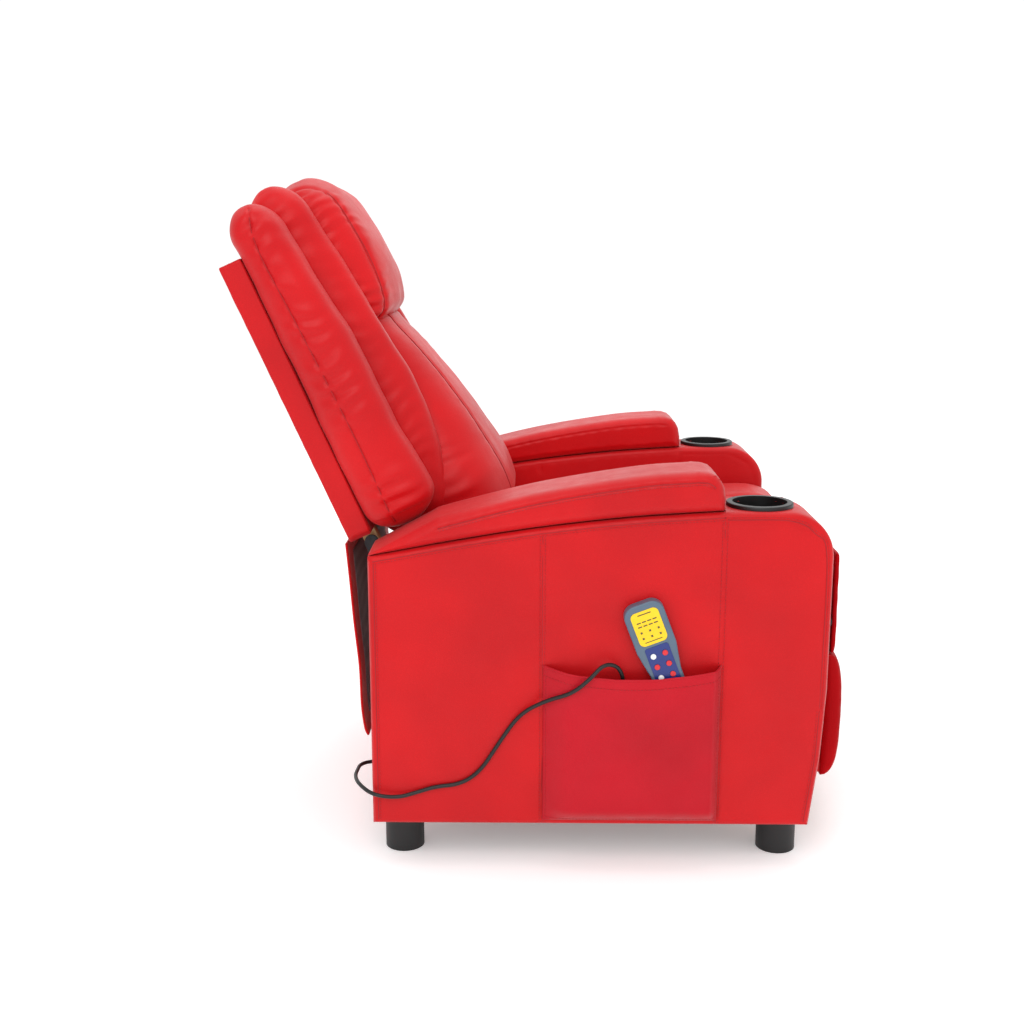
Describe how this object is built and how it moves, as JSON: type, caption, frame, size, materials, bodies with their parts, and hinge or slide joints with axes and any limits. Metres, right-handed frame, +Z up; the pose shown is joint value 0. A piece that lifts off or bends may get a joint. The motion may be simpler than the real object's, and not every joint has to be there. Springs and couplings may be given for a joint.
{
  "type": "massage chair",
  "caption": "Push-back recliner with massage motors, padded arms with cup holders, folding footrest, side pocket and a corded hand control.",
  "frame": {"origin": "centre of the footprint at floor level", "axes": "+X to the sitter's front, +Y to the sitter's left, +Z up"},
  "size_m": [0.9548, 0.7521, 1.0138],
  "materials": {
    "red_leather": "soft grained",
    "red_cushion": "soft grained, foam filled",
    "pocket_leather": "soft grained",
    "grey_lining": "woven",
    "timber": "sawn",
    "black_steel": "satin",
    "zinc_steel": "plated",
    "black_plastic": "fine texture",
    "slate_plastic": "satin",
    "label_yellow": "smooth",
    "keypad_navy": "smooth",
    "button_white": "smooth",
    "button_red": "smooth",
    "cord_rubber": "matte"
  },
  "bodies": {
    "chair_base": {"side_cover_right": "red_leather", "side_cover_left": "red_leather", "arm_pad_right": "red_cushion", "arm_pad_left": "red_cushion", "cup_holder_right": "black_plastic", "cup_holder_left": "black_plastic", "base_plates": "black_steel", "side_frames": "timber", "feet": "black_plastic", "pocket_panel": "pocket_leather", "front_rail": "timber", "rear_rail": "timber", "frame_bolts": "zinc_steel", "base_pins": "zinc_steel", "control_box": "black_plastic", "power_inlet": "black_plastic", "cable_gland": "black_plastic", "remote_lead": "cord_rubber"},
    "swing_pair": {"swing_links": "black_steel", "swing_tube": "black_steel"},
    "rear_pair": {"rear_links": "black_steel"},
    "rod_pair": {"drive_rods": "black_steel"},
    "seat": {"seat_plates": "black_steel", "seat_frame": "timber", "seat_springs": "zinc_steel", "seat_motor": "black_plastic", "seat_cushion": "red_cushion", "seat_tube": "black_steel", "seat_pins": "zinc_steel", "seat_bolts": "zinc_steel", "front_apron": "red_cushion"},
    "back": {"back_board": "red_leather", "back_frame": "timber", "back_brackets": "black_steel", "back_bolts": "zinc_steel", "back_springs": "zinc_steel", "back_motor_upper": "black_plastic", "back_motor_lower": "black_plastic", "back_cushion": "red_cushion", "head_pillow": "red_cushion", "back_bolster_right": "red_cushion", "back_bolster_left": "red_cushion"},
    "flap": {"rear_flap": "red_leather"},
    "leg_arms": {"footrest_arms": "black_steel", "crank_pins": "zinc_steel", "arm_tube": "black_steel"},
    "leg_rest": {"footrest_brackets": "black_steel", "footrest_pins": "zinc_steel", "footrest_board": "timber", "footrest_pad": "red_cushion"},
    "hand_control": {"remote_case": "slate_plastic", "remote_label": "label_yellow", "remote_keypad": "keypad_navy"},
    "key_1": {"button_1": "button_white"},
    "key_2": {"button_2": "button_red"},
    "key_3": {"button_3": "button_red"},
    "key_4": {"button_4": "button_red"},
    "key_5": {"button_5": "button_white"},
    "key_6": {"button_6": "button_red"}
  },
  "joints": [
    {"name": "swing_turn", "type": "hinge", "parent": "chair_base", "child": "swing_pair", "pos_m": [0.178, 0.013, 0.205], "axis": [0, -1, 0], "range_deg": [0, 22]},
    {"name": "seat_tilt", "type": "hinge", "parent": "swing_pair", "child": "seat", "pos_m": [0.263, 0.013, 0.285], "axis": [0, -1, 0], "range_deg": [-12, 0]},
    {"name": "back_recline", "type": "hinge", "parent": "seat", "child": "back", "pos_m": [-0.122, 0.013, 0.24], "axis": [0, -1, 0], "range_deg": [0, 16]},
    {"name": "rear_turn", "type": "hinge", "parent": "chair_base", "child": "rear_pair", "pos_m": [0.088, 0.013, 0.1], "axis": [0, -1, 0], "range_deg": [0, 10.49]},
    {"name": "rod_turn", "type": "hinge", "parent": "chair_base", "child": "rod_pair", "pos_m": [0.321, 0.013, 0.325], "axis": [0, -1, 0], "range_deg": [0, 68.26]},
    {"name": "footrest_swing", "type": "hinge", "parent": "seat", "child": "leg_arms", "pos_m": [0.402, 0.013, 0.357], "axis": [0, -1, 0], "range_deg": [0, 110], "deforming": ["front_apron"]},
    {"name": "footrest_tilt", "type": "hinge", "parent": "leg_arms", "child": "leg_rest", "pos_m": [0.413, 0.013, 0.204], "axis": [0, -1, 0], "range_deg": [-32, 0]},
    {"name": "flap_swing", "type": "hinge", "parent": "back", "child": "flap", "pos_m": [-0.302, 0.013, 0.474], "axis": [0, -1, 0], "range_deg": [-15, 0]},
    {"name": "remote_lift", "type": "slide", "parent": "chair_base", "child": "hand_control", "axis": [-0.3584, 0, 0.9336], "range_m": [0, 0.045]},
    {"name": "key_1_press", "type": "slide", "parent": "hand_control", "child": "key_1", "axis": [0, 1, 0], "range_m": [0, 0.001], "stiffness_N_per_m": 400},
    {"name": "key_2_press", "type": "slide", "parent": "hand_control", "child": "key_2", "axis": [0, 1, 0], "range_m": [0, 0.001], "stiffness_N_per_m": 400},
    {"name": "key_3_press", "type": "slide", "parent": "hand_control", "child": "key_3", "axis": [0, 1, 0], "range_m": [0, 0.001], "stiffness_N_per_m": 400},
    {"name": "key_4_press", "type": "slide", "parent": "hand_control", "child": "key_4", "axis": [0, 1, 0], "range_m": [0, 0.001], "stiffness_N_per_m": 400},
    {"name": "key_5_press", "type": "slide", "parent": "hand_control", "child": "key_5", "axis": [0, 1, 0], "range_m": [0, 0.001], "stiffness_N_per_m": 400},
    {"name": "key_6_press", "type": "slide", "parent": "hand_control", "child": "key_6", "axis": [0, 1, 0], "range_m": [0, 0.001], "stiffness_N_per_m": 400}
  ],
  "couplings": [
    {"joint": "swing_turn", "follows": "back_recline", "ratio": 1.375},
    {"joint": "seat_tilt", "follows": "back_recline", "ratio": -0.75},
    {"joint": "rear_turn", "follows": "back_recline", "ratio": 0.65544},
    {"joint": "rod_turn", "follows": "back_recline", "ratio": 4.2662},
    {"joint": "footrest_swing", "follows": "back_recline", "ratio": 6.875},
    {"joint": "footrest_tilt", "follows": "back_recline", "ratio": -2},
    {"joint": "flap_swing", "follows": "back_recline", "ratio": -0.9375}
  ]
}
